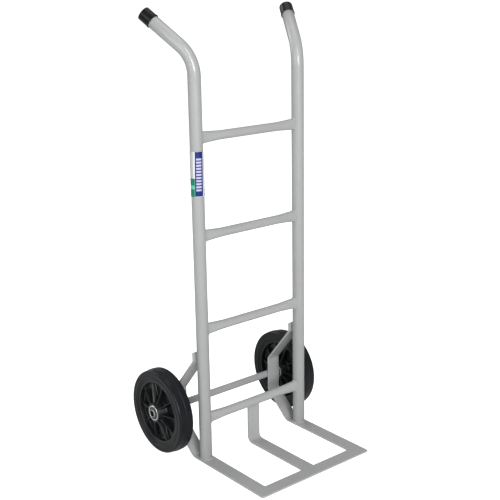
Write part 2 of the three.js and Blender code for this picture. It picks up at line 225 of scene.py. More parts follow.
def calc(operation, first, second=0.0, clamp=False):
    # works in the tree that its values come from
    linked = first if isinstance(first, bpy.types.NodeSocket) else second
    fed, settings = {0: first, 1: second}, {"operation": operation, "use_clamp": clamp}
    return addNode(linked.id_data, "ShaderNodeMath", fed, **settings).outputs[0]


def plus(first, second):
    return calc("ADD", first, second)


def minus(first, second):
    return calc("SUBTRACT", first, second)


def times(first, second):
    return calc("MULTIPLY", first, second)


def isBelow(value, limit):
    return calc("LESS_THAN", value, limit)


def noiseAt(vector, scale, detail=3.0, roughness=0.5):
    fed = {"Vector": vector, "Scale": scale, "Detail": detail, "Roughness": roughness}
    return addNode(vector.id_data, "ShaderNodeTexNoise", fed).outputs["Fac"]


def spanOf(value, fromLow, fromHigh, toLow, toHigh):
    names = ("Value", "From Min", "From Max", "To Min", "To Max")
    fed = dict(zip(names, (value, fromLow, fromHigh, toLow, toHigh)))
    return addNode(value.id_data, "ShaderNodeMapRange", fed).outputs["Result"]


def mixColors(factor, first, second):
    # the Mix node's colours are its inputs 6 and 7 and its output 2
    fed = {0: factor, 6: first, 7: second}
    return addNode(factor.id_data, "ShaderNodeMix", fed, data_type="RGBA").outputs[2]


def split(vector):
    return addNode(vector.id_data, "ShaderNodeSeparateXYZ", {0: vector}).outputs


def newTree(name, kind, inputs, output):
    # each input has a number to start from or a socket type; there is one output
    tree = bpy.data.node_groups.new(name, kind)
    for key, given in inputs.items():
        typed = isinstance(given, str)
        socketType = "NodeSocket" + (given if typed else "Float")
        socket = tree.interface.new_socket(name=key, in_out="INPUT", socket_type=socketType)
        if not typed:
            socket.default_value = given
    tree.interface.new_socket(name=output[0], in_out="OUTPUT", socket_type="NodeSocket" + output[1])
    return tree, addNode(tree, "NodeGroupInput").outputs


def closeTree(result):
    tree = result.id_data
    tree.links.new(result, addNode(tree, "NodeGroupOutput").inputs[0])
    return tree


def fromAxle(vector):
    # a point's coordinates, and its squared distance from the axle's middle line
    parts = split(vector)
    across = minus(parts["Y"], axleCentre.y)
    upward = minus(parts["Z"], axleCentre.z)
    return parts, plus(times(across, across), times(upward, upward))


# shader groups

def newGroup(name, output, kind, **inputs):
    # every group takes a Vector besides its own inputs
    return newTree(name, "ShaderNodeTree", {"Vector": "Vector", **inputs}, (output, kind))


def makeToneDrift():
    # slow light and dark drift of a colour, with a finer mottle on top
    group, given = newGroup("toneDrift", "Color", "Color", Color="Color", Scale=8.0, Amount=0.05)
    slow = noiseAt(given["Vector"], given["Scale"], detail=4.0)
    fine = noiseAt(given["Vector"], times(given["Scale"], 14.0), detail=2.0)
    both = plus(times(slow, 0.7), times(fine, 0.3))
    swing = times(minus(both, 0.5), given["Amount"])
    gain = plus(times(swing, 4.0), 1.0)
    fed = {0: given["Color"], "Scale": gain}
    return closeTree(addNode(group, "ShaderNodeVectorMath", fed, operation="SCALE").outputs[0])


def makeSpecks():
    # sparse small round specks: 1 on a speck, 0 elsewhere
    group, given = newGroup("specks", "Mask", "Float", Scale=120.0, Share=0.1)
    cells = addNode(group, "ShaderNodeTexVoronoi", {"Vector": given["Vector"], "Scale": given["Scale"]})
    picked = addNode(group, "ShaderNodeSeparateColor", {0: cells.outputs["Color"]}).outputs
    size = spanOf(picked[1], 0.0, 1.0, 0.06, 0.22)
    chosen = isBelow(picked[0], given["Share"])
    return closeTree(times(chosen, isBelow(cells.outputs["Distance"], size)))


def makeFilmOfDust():
    # dust in soft patches, heavier on faces that look up
    group, given = newGroup("filmOfDust", "Mask", "Float", Amount=0.2)
    facing = split(addNode(group, "ShaderNodeNewGeometry").outputs["Normal"])
    upward = spanOf(facing["Z"], 0.2, 1.0, 0.15, 1.0)
    cloud = noiseAt(given["Vector"], 38.0, detail=6.0, roughness=0.65)
    patch = spanOf(cloud, 0.42, 0.72, 0.0, 1.0)
    mask = calc("MULTIPLY", times(upward, patch), given["Amount"], clamp=True)
    return closeTree(mask)


def makeGrain():
    # a fine skin over a coarser ripple, as a height
    group, given = newGroup("grain", "Height", "Float", Scale=600.0, Ripple=0.4)
    fine = noiseAt(given["Vector"], given["Scale"], detail=2.0)
    coarse = noiseAt(given["Vector"], times(given["Scale"], 0.22), detail=1.0)
    return closeTree(plus(fine, times(coarse, given["Ripple"])))


def makeTurnedLines():
    # fine rings left by a lathe, grinder or mould, about the axle's own axis
    group, given = newGroup("turnedLines", "Height", "Float", Spacing=0.0003)
    parts, squares = fromAxle(given["Vector"])
    along = plus(calc("SQRT", squares), parts["X"])
    line = addNode(group, "ShaderNodeTexNoise", noise_dimensions="1D")
    feed(line.inputs["W"], calc("DIVIDE", along, given["Spacing"]))
    line.inputs["Scale"].default_value = 1.0
    return closeTree(line.outputs["Fac"])


shaderGroups = dict(
    toneDrift=makeToneDrift(), specks=makeSpecks(), filmOfDust=makeFilmOfDust(),
    grain=makeGrain(), turnedLines=makeTurnedLines(),
)


def useGroup(name, vector, **values):
    node = addNode(vector.id_data, "ShaderNodeGroup", node_tree=shaderGroups[name])
    for key, value in {"Vector": vector, **values}.items():
        feed(node.inputs[key], value)
    return node.outputs[0]


# materials

shaderSockets = dict(
    roughness="Roughness", metallic="Metallic", shine="Specular IOR Level",
    coat="Coat Weight", coatRoughness="Coat Roughness",
)


def startMaterial(name, spec):
    material = bpy.data.materials.new(name)
    material.use_nodes = True
    tree = material.node_tree
    for key, socket in shaderSockets.items():
        if key in spec:
            tree.nodes["Principled BSDF"].inputs[socket].default_value = spec[key]
    return material, addNode(tree, "ShaderNodeTexCoord").outputs["Object"]


def driftingTone(place, spec):
    scale, amount = spec["drift"]
    return useGroup("toneDrift", place, Color=spec["color"], Scale=scale, Amount=amount)


def dustyTone(place, spec):
    dust = useGroup("filmOfDust", place, Amount=spec["dusting"])
    return mixColors(dust, driftingTone(place, spec), spec["dust"])


def skinHeight(place, spec):
    scale, ripple = spec["skin"]
    return useGroup("grain", place, Scale=scale, Ripple=ripple)


def closeMaterial(material, place, spec, color, height, patches=None):
    # roughness swings round the finish's own value as the patches go from 0.3 to 0.7
    tree = material.node_tree
    if patches is None:
        patches = noiseAt(place, *spec["patches"])
    less, more = spec["roughSwing"]
    rough = spanOf(patches, 0.3, 0.7, spec["roughness"] - less, spec["roughness"] + more)
    strength, distance = spec["bump"]
    fed = {"Strength": strength, "Distance": distance, "Height": height}
    normal = addNode(tree, "ShaderNodeBump", fed).outputs["Normal"]
    for key, value in {"Base Color": color, "Roughness": rough, "Normal": normal}.items():
        feed(tree.nodes["Principled BSDF"].inputs[key], value)
    return material


greyEnamel = dict(
    color=(0.355, 0.36, 0.362, 1),
    drift=(7.0, 0.05),  # scale and amount
    dust=(0.42, 0.405, 0.38, 1), dusting=0.22, speck=(0.10, 0.10, 0.10, 1),
    specks=(150.0, 0.05),  # scale, and the share of places that have one
    # colour inside the axle tube: bare steel, made near-black as painted shade deep in the hole
    bareInsideAndShade=(0.012, 0.011, 0.010, 1), roughness=0.34,
    roughSwing=(0.06, 0.09),  # how far below and above
    patches=(26.0, 5.0, 0.6),  # the swing's scale, detail and fineness
    coat=0.35, coatRoughness=0.13,
    skin=(420.0, 0.9),  # the grain's scale and ripple
    bump=(0.2, 0.00025),  # strength and distance
)
axleEnamel = dict(greyEnamel, color=(0.30, 0.305, 0.31, 1))
axleTube = dict(radius=0.009525, wall=0.0016, chamfer=0.0004, sides=64, paintedFrom=0.0085)


def makeEnamel(name, spec, axle=False):
    material, place = startMaterial(name, spec)
    specks = useGroup("specks", place, Scale=spec["specks"][0], Share=spec["specks"][1])
    color = mixColors(times(specks, 0.5), dustyTone(place, spec), spec["speck"])
    if axle:
        # no paint reaches the inside of the tube, so it is bare steel; its near-black colour also stands in
        # for the shade deep in the hole, as painted shade
        bareAndShade = isBelow(fromAxle(place)[1], axleTube["paintedFrom"] ** 2)
        color = mixColors(bareAndShade, color, spec["bareInsideAndShade"])
    return closeMaterial(material, place, spec, color, minus(skinHeight(place, spec), specks))


tyreFinish = dict(
    color=(0.0058, 0.0070, 0.0088, 1), drift=(16.0, 0.16), dust=(0.034, 0.036, 0.038, 1),
    dusting=0.35, roughness=0.33, roughSwing=(0.09, 0.12), patches=(30.0, 6.0, 0.65),
    shine=0.22, skin=(900.0, 0.5),
    rings=0.4,  # height of the mould's rings
    ringSpacing=0.0016, bump=(0.2, 0.0002),
)
sealFinish = dict(
    tyreFinish, color=(0.022, 0.023, 0.024, 1), dust=(0.07, 0.066, 0.06, 1),
    roughness=0.6, shine=0.4, rings=0.8,
)
hubFinish = dict(
    color=(0.0050, 0.0058, 0.0066, 1), drift=(22.0, 0.12), dust=(0.09, 0.088, 0.085, 1),
    dusting=0.08, roughness=0.30, roughSwing=(0.04, 0.08), patches=(55.0, 4.0, 0.5),
    shine=0.38, skin=(1400.0, 1.2), bump=(0.04, 0.0002),
)
capFinish = dict(
    hubFinish, color=(0.006, 0.006, 0.0065, 1), roughness=0.26, shine=0.2,
    skin=(700.0, 1.2), bump=(0.06, 0.0002),
)


def makeBlack(name, spec):
    # rubber and moulded plastic; rubber also shows its mould's rings
    material, place = startMaterial(name, spec)
    height = skinHeight(place, spec)
    if "rings" in spec:
        rings = useGroup("turnedLines", place, Spacing=spec["ringSpacing"])
        height = plus(height, times(rings, spec["rings"]))
    return closeMaterial(material, place, spec, dustyTone(place, spec), height)


raceFinish = dict(
    color=(0.66, 0.67, 0.68, 1), drift=(60.0, 0.06), stain=(0.42, 0.40, 0.37, 1),
    stainScale=140.0, metallic=1.0, roughness=0.24, roughSwing=(0.07, 0.12), lines=0.00022,
    bump=(0.3, 0.00008),
)
ballFinish = dict(
    raceFinish, color=(0.72, 0.73, 0.74, 1), stain=(0.60, 0.58, 0.52, 1), roughness=0.12, lines=0.00012,
)
zincFinish = dict(
    raceFinish, color=(0.50, 0.51, 0.525, 1), stain=(0.40, 0.375, 0.32, 1), roughness=0.34, lines=0.0006,
)
springFinish = dict(
    raceFinish, color=(0.17, 0.17, 0.175, 1), stain=(0.30, 0.27, 0.22, 1), roughness=0.4, lines=0.0005,
)


def makeSteel(name, spec):
    material, place = startMaterial(name, spec)
    cloud = spanOf(noiseAt(place, spec["stainScale"], detail=5.0), 0.5, 0.72, 0.0, 0.6)
    color = mixColors(cloud, driftingTone(place, spec), spec["stain"])
    lines = useGroup("turnedLines", place, Spacing=spec["lines"])
    return closeMaterial(material, place, spec, color, lines, lines)


labelFinish = dict(
    roughness=0.3, roughSwing=(0.05, 0.12), patches=(60.0, 4.0, 0.5), shine=0.35,
    drift=(40.0, 0.06), skin=(300.0, 1.5), bump=(0.08, 0.0003), white=(0.68, 0.69, 0.73, 1),
    bars=(0.48, 0.46, 0.66, 1), pale=(0.47, 0.50, 0.49, 1), blue=(0.004, 0.019, 0.15, 1),
    green=(0.010, 0.20, 0.11, 1), teal=(0.16, 0.50, 0.42, 1),
    turned=19.5,  # how far the blue panel sits round to the left of the front, degrees
    lean=8.0,  # how much farther round it sits at the bottom than at the top
    panelHalfAngle=35.5,
    panelFoot=0.0011,  # height of the panel's lower edge
    border=17.0,  # white beside the panel, degrees
    edgeLine=3.5,
    greenTop=0.41,  # share of the label's height
    tealBand=(0.42, 0.62),  # shares of the green's height
    barsShift=2.0, barPitch=0.0074, barHeight=0.0046, barHalfAngle=23.0,
    plainEnd=0.014,  # solid blue above and below the bars
)


def makeLabelFilm(name, spec):
    material, place = startMaterial(name, spec)
    low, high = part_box("label")
    tall = high.z - low.z
    parts = split(place)
    sideways = minus(parts["X"], middle("left_side_strap").x)
    forward = minus(uprightY, parts["Y"])
    angle = calc("DEGREES", calc("ARCTAN2", sideways, forward))
    height = minus(parts["Z"], low.z)
    lean = times(minus(calc("DIVIDE", height, tall), 0.5), spec["lean"])
    centred = minus(plus(angle, spec["turned"]), lean)
    turn = calc("ABSOLUTE", centred)
    barTurn = calc("ABSOLUTE", plus(centred, spec["barsShift"]))

    def inside(value, start, end):
        return times(calc("GREATER_THAN", value, start), isBelow(value, end))

    greenTop = spec["greenTop"] * tall
    lower = isBelow(height, greenTop)
    band = inside(height, greenTop * spec["tealBand"][0], greenTop * spec["tealBand"][1])
    half, end = spec["panelHalfAngle"], spec["plainEnd"]
    beside = calc("GREATER_THAN", turn, half)
    edgeLine = times(beside, isBelow(turn, half + spec["edgeLine"]))
    lowerLeft = times(lower, times(beside, isBelow(centred, 0.0)))
    border = times(isBelow(turn, half + spec["border"]), minus(1.0, lowerLeft))
    panel = times(isBelow(turn, half), inside(height, spec["panelFoot"], tall))
    step = calc("MODULO", minus(height, end), spec["barPitch"])
    bars = times(inside(height, end, tall - end), isBelow(step, spec["barHeight"]))
    bars = times(bars, isBelow(barTurn, spec["barHalfAngle"]))
    # the colours are laid over one another, each with its own mask
    color = spec["pale"]
    masks = [(lower, "green"), (band, "teal"), (edgeLine, "teal")]
    masks += [(border, "white"), (panel, "blue"), (bars, "bars")]
    for mask, layer in masks:
        color = mixColors(mask, color, spec[layer])
    color = driftingTone(place, dict(spec, color=color))
    return closeMaterial(material, place, spec, color, skinHeight(place, spec))


enamelPaint = makeEnamel("greyEnamel", greyEnamel)
axlePaint = makeEnamel("axleEnamel", axleEnamel, axle=True)
tyreRubber = makeBlack("tyreRubber", tyreFinish)
sealRubber = makeBlack("sealRubber", sealFinish)
hubNylon = makeBlack("hubNylon", hubFinish)
capVinyl = makeBlack("capVinyl", capFinish)
raceSteel = makeSteel("raceSteel", raceFinish)
ballSteel = makeSteel("ballSteel", ballFinish)
plainZinc = makeSteel("zincPlate", zincFinish)
dullSpring = makeSteel("dullSpringSteel", springFinish)
labelFilm = makeLabelFilm("labelFilm", labelFinish)
print("materials made")

# frame tubes and bars

uprightTube = dict(
    wall=0.0016, bendStart=0.980, bendRadius=0.0876, bendAngle=51.6, splay=28.5, grip=0.114,
    sides=56,
    flatten=0.035,  # how much the tube flattens in the middle of its bend
    lip=0.0004,
)


def paintedPiece(name, rings, node, closed=True, sharpAngle=40):
    finishMesh(name, skinOf(rings, closed), enamelPaint, ("frame", "frame_paint", node), sharpAngle)


def gripLine(side, spec):
    # the handle's splay, the corner of its bend, the grip's direction and the tube's end
    angle, splay = math.radians(spec["bendAngle"]), math.radians(spec["splay"])
    plane = Vector((side * math.sin(splay), math.cos(splay), 0))
    direction = plane * math.sin(angle) + Vector((0, 0, math.cos(angle)))
    reach = spec["bendRadius"] * math.tan(angle / 2)
    corner = Vector((side * uprightX, uprightY, spec["bendStart"] + reach))
    return plane, corner, direction, corner + direction * (reach + spec["grip"])


def makeUpright(name, side, spec):
    plane, corner, direction, end = gripLine(side, spec)
    foot = Vector((side * uprightX, uprightY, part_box(f"{name}_upright")[0].z))
    stations = route([foot, corner, end], [spec["bendRadius"]], stepAngle=2.0)
    lip = spec["lip"]
    first, last = stations[0], stations[-1]
    stations.insert(1, (first[0] + first[1] * lip, first[1]))
    stations.insert(-1, (last[0] - last[1] * lip, last[1]))
    outer = sweep(stations, circle(tubeRadius, spec["sides"]), plane)
    inner = sweep(stations, circle(tubeRadius - spec["wall"], spec["sides"]), plane)
    for i, (point, tangent) in enumerate(stations):
        turned = first[1].angle(tangent) / math.radians(spec["bendAngle"])
        squeeze = spec["flatten"] * math.sin(math.pi * min(1, turned))
        ease = lip / tubeRadius if i in (0, len(stations) - 1) else 0
        inPlane = tangent.cross(Vector((0, 0, 1)).cross(plane).normalized()).normalized()
        for ring, factor in ((outer, 1 - ease), (inner, 1 + ease)):
            for j, p in enumerate(ring[i]):
                arm = (p - point) * factor
                ring[i][j] = point + arm - inPlane * arm.dot(inPlane) * squeeze
    paintedPiece(f"{name}UprightTube", outer + inner[::-1], f"{name}_upright", sharpAngle=50)


crossbar = dict(
    wall=0.0015, sides=48, pressedLength=0.006, taper=0.050, taperPower=1.25, taperSteps=12,
    depthShare=0.78,
    squareness=2.7,  # 2 is an ellipse, more is boxier
    gap=0.0003,
)


def makeCrossbar(node, spec):
    low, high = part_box(node)
    centreZ = (low.z + high.z) / 2
    heightShare = (high.z - low.z) / 2 / crossbarRadius
    pressed = uprightX - tubeRadius - spec["pressedLength"]
    plain = pressed - spec["taper"]
    steps = spec["taperSteps"]
    # None stands for the end, which is cut to fit round the upright
    half = [plain + (pressed - plain) * k / steps for k in range(steps + 1)] + [None]
    places = [(x, -1) for x in reversed(half)] + [(x, 1) for x in half]
    saddle = tubeRadius + spec["gap"]

    def ring(x, side, radius):
        amount = 1.0
        if x is not None:
            amount = min(1, max(0, (x - plain) / spec["taper"])) ** spec["taperPower"]
        power = 2 / (2 + (spec["squareness"] - 2) * amount)
        sizes = [radius * (1 + (share - 1) * amount) for share in (spec["depthShare"], heightShare)]
        points = []
        for p in circle(1, spec["sides"]):
            depth, height = (math.copysign(abs(v) ** power, v) * size for v, size in zip(p, sizes))
            along = x if x is not None else uprightX - math.sqrt(saddle ** 2 - depth ** 2)
            points.append(Vector((side * along, uprightY + depth, centreZ + height)))
        return points

    outer = [ring(x, side, crossbarRadius) for x, side in places]
    inner = [ring(x, side, crossbarRadius - spec["wall"]) for x, side in places]
    paintedPiece(node.replace("crossbar_", "crossbarTube"), outer + inner[::-1], node, sharpAngle=50)
    return outer[-1]


flatBar = dict(
    width=0.0381,
    edge=0.0009,  # rolled edges of the stock
    flatFrom=2.2,  # where the wide faces turn flat, in edges
    endEase=0.0006, gap=0.0003, cornerRadius=0.004, backCorner=0.0004,
    bevel=0.3,  # share of the edge that the front bar's bevel takes at its middle
    centreSetback=0.0017, centreBend=0.015, bracketSetback=0.1064, footSetback=0.0307,
    lowerBend=0.0705, upperBend=0.164, tabBend=0.2693, footRadius=0.024, bendRadius=0.009,
)


def barSection(spec):
    # points a little way in from each rolled edge keep the wide faces flat
    half, thick, edge = spec["width"] / 2, barThickness / 2, spec["edge"]
    flat = half - edge * spec["flatFrom"]
    face = [(-half, edge), (-flat, 0), (flat, 0), (half, edge)]
    return rounded([(x * way, -thick * way, radius) for way in (1, -1) for x, radius in face], 3)


def makeStrap(name, corners, radii, spec, node):
    # the front end butts against the front bar; the other end is eased by a short step inward
    stations = route(corners, radii, stepAngle=5.0)
    ease = spec["endEase"]
    point, tangent = stations[-1]
    stations.insert(-1, (point - tangent * ease, tangent))
    wide = Vector((1, 0, 0))
    rings = sweep(stations, barSection(spec), wide)
    thin = tangent.cross(wide)
    shrink = ease / (barThickness / 2)
    rings[-1] = [
        p - thin * (p - point).dot(thin) * shrink - wide * math.copysign(ease, p.x - point.x)
        for p in rings[-1]
    ]
    paintedPiece(name, rings, node, closed=False)


def makeSideStrap(name, side, spec):
    mid = barThickness / 2
    back = uprightY + spec["bracketSetback"]
    tab = uprightY + tubeRadius + spec["gap"] + mid
    line = [(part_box("toe_front_bar")[1].y, mid), (uprightY + spec["footSetback"], mid)]
    line += [(back, spec["lowerBend"]), (back, spec["upperBend"])]
    line += [(tab, spec["tabBend"]), (tab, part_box(f"{name}_side_strap")[1].z)]
    corners = [(side * uprightX, y, z) for y, z in line]
    radii = [spec["footRadius"]] + [spec["bendRadius"]] * 3
    makeStrap(f"{name}SideStrap", corners, radii, spec, f"{name}_side_strap")


def makeCentreStrap(spec):
    mid = barThickness / 2
    y = uprightY + spec["centreSetback"]
    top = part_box("toe_centre_strap")[1].z
    corners = [(0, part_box("toe_front_bar")[1].y, mid), (0, y, mid), (0, y, top)]
    makeStrap("toeCentreStrap", corners, [spec["centreBend"]], spec, "toe_centre_strap")


def makeFrontBar(spec):
    low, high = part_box("toe_front_bar")
    radius, back, edge = spec["cornerRadius"], spec["backCorner"], spec["edge"]
    corners = [(low.x, low.y, radius), (high.x, low.y, radius), (high.x, high.y, back), (low.x, high.y, back)]
    bevel = edge * spec["bevel"]
    steps = [(0, edge * spec["flatFrom"]), (0, edge), (bevel, bevel), (edge, 0)]
    levels = [(low.z + up, inset) for up, inset in steps]
    levels += [(high.z - down, inset) for down, inset in reversed(steps)]
    layers = []
    for z, inset in levels:
        shrunk = []
        for x, y, r in corners:
            dx = inset if x < 0 else -inset
            dy = inset if y == low.y else 0
            shrunk.append((x + dx, y + dy, max(r - inset, 0.0003)))
        layers.append([Vector((p.x, p.y, z)) for p in rounded(shrunk, 5)])
    paintedPiece("toeFrontBar", layers, "toe_front_bar", closed=False)


for name, side in sides.items():
    makeUpright(name, side, uprightTube)
    makeSideStrap(name, side, flatBar)
saddles = [makeCrossbar(f"crossbar_{i}", crossbar) for i in range(1, 5)]
makeCentreStrap(flatBar)
makeFrontBar(flatBar)
print("frame made")

# caps and label

handleCap = dict(
    radius=0.018, skirt=0.028, end=0.0039, round=0.0036, dish=0.0004,
    bore=0.00015,  # how much wider than the tube it is inside
    floor=0.0003, sides=72,
    lip=0.0007,  # how far the body steps in above the thicker lip at the open end
    lipLength=0.0035,
)


def makeCap(name, side, spec):
    direction, end = gripLine(side, uprightTube)[2:]
    radius, lip, skirt = spec["radius"], spec["lip"], spec["skirt"]
    bore = tubeRadius + spec["bore"]
    top = radius - lip - spec["round"]
    outline = rounded([
        (bore, spec["floor"], 0),
        (bore, -skirt, 0.0004),
        (radius, -skirt, 0.0007),
        (radius, spec["lipLength"] - skirt, 0.0006),
        (radius - lip, spec["lipLength"] + lip - skirt, 0.0006),
        (radius - lip, spec["end"], spec["round"]),
        (top * 0.9, spec["end"], 0),
    ], 6, closed=False)
    crown = [(top * share, spec["end"] - spec["dish"] * (1 - share ** 2)) for share in (0.7, 0.5, 0.3, 0.1)]
    profile = [(bore * 0.1, spec["floor"])] + list(outline) + crown
    bm = skinOf(turnedRings(profile, spec["sides"]), closed=False)
    bm.transform(Vector((1, 0, 0)).rotation_difference(direction).to_matrix().to_4x4())
    placeMesh(bm, end)
    finishMesh(f"{name}HandleCap", bm, capVinyl, ("frame", "black_vinyl", f"{name}_handle_cap"), 40)


labelShell = dict(gap=0.0001, edge=0.0001, halfWrap=150.0, steps=96)


def makeLabel(spec):
    low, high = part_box("label")
    x = middle("left_side_strap").x
    levels = (low.z, low.z + spec["edge"], high.z - spec["edge"], high.z)
    corners = [(x - low.x, z) for z in levels]
    corners += [(tubeRadius + spec["gap"], z) for z in reversed(levels)]
    rings = []
    for i in range(spec["steps"] + 1):
        angle = math.radians(-90 + spec["halfWrap"] * (2 * i / spec["steps"] - 1))
        out = Vector((math.cos(angle), math.sin(angle)))
        rings.append([Vector((x + out.x * radius, uprightY + out.y * radius, z)) for radius, z in corners])
    finishMesh("labelFilm", skinOf(rings, closed=False), labelFilm, ("frame", "label_film", "label"))


for name, side in sides.items():
    makeCap(name, side, handleCap)
makeLabel(labelShell)
print("caps and label made")

# wheels: modelled about their own centre, outboard along +X

wheelSides = 144


def axlePoint(side, x=0.0):
    return Vector((side * (wheelCentre.x + x), axleCentre.y, axleCentre.z))


def makeTurned(name, profile, material, side, roles, x=0.0, count=96, sharpAngle=32):
    bm = skinOf(turnedRings([(r, along + x) for r, along in profile], count))
    placeMesh(bm, axlePoint(side), side)
    finishMesh(name, bm, material, roles, sharpAngle)


tyre = dict(
    radius=0.112, halfWidth=0.0205, crown=0.0008, shoulder=0.005, bore=0.0841,
    beadHalf=0.0176,
    mouldStep=0.0013,  # the outboard half of the mould is this much smaller
    partingRidge=0.0009, partingHalf=0.0007,
    ridge=0.0006,  # raised ring on the sidewall
    ridgeRadius=0.0935, ridgeHalf=0.0013,
    dish=0.0009,  # how far the sidewall is hollowed above the ridge
    beadHollow=0.0012,
)


def tyreHalf(spec, radius):
    # half a section, from the middle of the tread down to the bead
    half, shoulder, bore = spec["halfWidth"], spec["shoulder"], spec["bore"]
    start, edge = spec["partingHalf"], half - shoulder
    top = radius - spec["crown"]
    across = [start + (edge - start) * k / 6 for k in range(7)]
    points = [(radius - spec["crown"] * (x / edge) ** 2, x) for x in across]
    for k in range(1, 9):
        turn = math.pi / 2 * k / 8
        points.append((top - shoulder * (1 - math.cos(turn)), half - shoulder * (1 - math.sin(turn))))
    ridge, ridgeHalf, wallTop = spec["ridgeRadius"], spec["ridgeHalf"], top - shoulder
    for k in range(1, 9):
        sink = spec["dish"] * math.sin(math.pi * k / 8 / 2)
        points.append((wallTop + (ridge + ridgeHalf - wallTop) * k / 8, half - sink))
    sidewall = half - spec["dish"]
    for k in range(1, 8):
        lift = spec["ridge"] * math.sin(math.pi * k / 7)
        points.append((ridge + ridgeHalf * (1 - 2 * k / 7), sidewall + lift))
    # down into the hollow and round the bead that grips the rim
    hollow = sidewall - spec["beadHollow"]
    points += [(ridge - ridgeHalf - 0.0012, hollow), (bore + 0.0016, hollow)]
    return points + [(bore + 0.0007, spec["beadHalf"] + 0.0002), (bore, spec["beadHalf"] - 0.0006)]


def makeTyre(name, side, spec):
    outboard = tyreHalf(spec, spec["radius"] - spec["mouldStep"])
    inboard = [(r, -x) for r, x in tyreHalf(spec, spec["radius"])]
    parting = [(spec["radius"] + spec["partingRidge"] - spec["mouldStep"], 0)]
    roles = (f"{name}_wheel", "tyre_rubber", f"{name}_tyre")
    profile = inboard[::-1] + parting + outboard
    makeTurned(f"{name}Tyre", profile, tyreRubber, side, roles, count=wheelSides, sharpAngle=38)


hub = dict(
    rim=0.084, rimHalf=0.017, rimDepth=0.005, draft=0.002, webHalf=0.0035,
    webInset=0.010,  # where the web turns flat, from its rounded ends
    seat=0.0203, barrelWall=0.0044, barrelFlare=0.0045, barrelEnd=0.0284, seatDepth=0.0166,
    bore=0.014, ribs=10, firstRib=38.0,
    ribStart=0.001,  # how far a rib runs into the barrel
    ribEnd=0.003,  # how far it runs into the rim
    ribHalf=0.0011,  # half thickness along the rib's edge
    ribRoot=0.0021,  # half thickness where it meets the web
    ribFlare=0.0016,  # how much thicker it gets at both ends
    ribSetback=0.006, ribSteps=14,
)


def makeHubBody(name, side, spec):
    seat, bore, inner = spec["seat"], spec["bore"], spec["seatDepth"]
    web, rim, rimHalf = spec["webHalf"], spec["rim"], spec["rimHalf"]
    barrel = seat + spec["barrelWall"]
    root = barrel + spec["barrelFlare"]
    recess = rim - spec["rimDepth"]
    shelf = recess - spec["draft"]
    corners = [  # radius, x, rounding
        (bore, 0, 0),
        (bore, inner, 0.0004),
        (seat, inner, 0.0003),
        (seat, spec["barrelEnd"], 0.0005),
        (barrel, spec["barrelEnd"], 0.0014),
        (root, web, 0.0045),
        (root + spec["webInset"], web, 0),
        (shelf - spec["webInset"], web, 0),
        (shelf, web, 0.004),
        (recess, rimHalf, 0.0012),
        (rim, rimHalf, 0.0007),
        (rim, 0, 0),
    ]
    right = [(p.x, p.y) for p in rounded(corners, 6, closed=False)]
    left = [(r, -x) for r, x in right[-2:0:-1]]
    roles = (f"{name}_wheel", "hub_plastic", f"{name}_hub")
    makeTurned(f"{name}HubBody", right + left, hubNylon, side, roles, count=wheelSides)


def makeRibBlade(spec):
    # one rib, pointing along +Z from the axis, thin along Y
    start = spec["seat"] + spec["barrelWall"] - spec["ribStart"]
    end = spec["rim"] - spec["ribEnd"]
    web, thin, thick = spec["webHalf"], spec["ribHalf"], spec["ribRoot"]
    sections = []
    for i in range(spec["ribSteps"] + 1):
        share = i / spec["ribSteps"]
        radius = start + (end - start) * share
        top = spec["barrelEnd"] + (spec["rimHalf"] - spec["barrelEnd"]) * share - spec["ribSetback"]
        flare = spec["ribFlare"] * (math.exp(-share * 14) + math.exp(-(1 - share) * 16))
        half = [  # half thickness, x
            (thick + flare + 0.0012, web - 0.0004),
            (thick + flare + 0.0003, web + 0.0006),
            (thick + flare, web + 0.002),
            (thin + 0.0003 + flare, top - 0.0009),
            (thin + flare, top - 0.0003),
            (thin * 0.6 + flare, top),
        ]
        quarters = ((1, 1, 1), (1, -1, -1), (-1, -1, 1), (-1, 1, -1))
        sections.append([
            Vector((x * out, y * across, radius)) for out, across, way in quarters for y, x in half[::way]
        ])
    return finishMesh("ribBlade", skinOf(sections, closed=False), hubNylon, sharpAngle=45)


def shapeNode(tree, kind, fed=None, **settings):
    return addNode(tree, "GeometryNode" + kind, fed, **settings).outputs[0]


def closeShapeTree(tree, geometry, material):
    real = shapeNode(tree, "RealizeInstances", {0: geometry})
    return closeTree(shapeNode(tree, "SetMaterial", {"Geometry": real, "Material": material}))


def makeRingOfCopies():
    # copies a piece round the X axis, evenly, starting at an angle below the level
    inputs = {
        "Geometry": "Geometry", "Copied Piece": "Object", "Count": "Int",
        "First Angle": "Float", "Centre": "Vector", "Material": "Material",
    }
    tree, given = newTree("ringOfCopies", "GeometryNodeTree", inputs, ("Geometry", "Geometry"))
    points = shapeNode(tree, "Points", {"Count": given["Count"], "Position": given["Centre"]})
    pitch = calc("DIVIDE", math.tau, given["Count"])
    angle = plus(times(shapeNode(tree, "InputIndex"), pitch), given["First Angle"])
    turn = addNode(tree, "ShaderNodeCombineXYZ", {"X": angle}).outputs[0]
    source = addNode(tree, "GeometryNodeObjectInfo", {"Object": given["Copied Piece"]})
    fed = {"Points": points, "Instance": source.outputs["Geometry"], "Rotation": turn}
    return closeShapeTree(tree, shapeNode(tree, "InstanceOnPoints", fed), given["Material"])


def runTree(name, tree, values, start=None):
    # evaluates a Geometry Nodes tree once and keeps its result as a plain mesh
    host = bpy.data.objects.new(name, start or bpy.data.meshes.new(name))
    scene.collection.objects.link(host)
    modifier = host.modifiers.new("shape", "NODES")
    modifier.node_group = tree
    for item in tree.interface.items_tree:
        if item.in_out == "INPUT" and item.name in values:
            modifier[item.identifier] = values[item.name]
    made = bpy.data.meshes.new_from_object(host.evaluated_get(bpy.context.evaluated_depsgraph_get()))
    host.modifiers.remove(modifier)
    host.data = made
    made.name = name
    return host


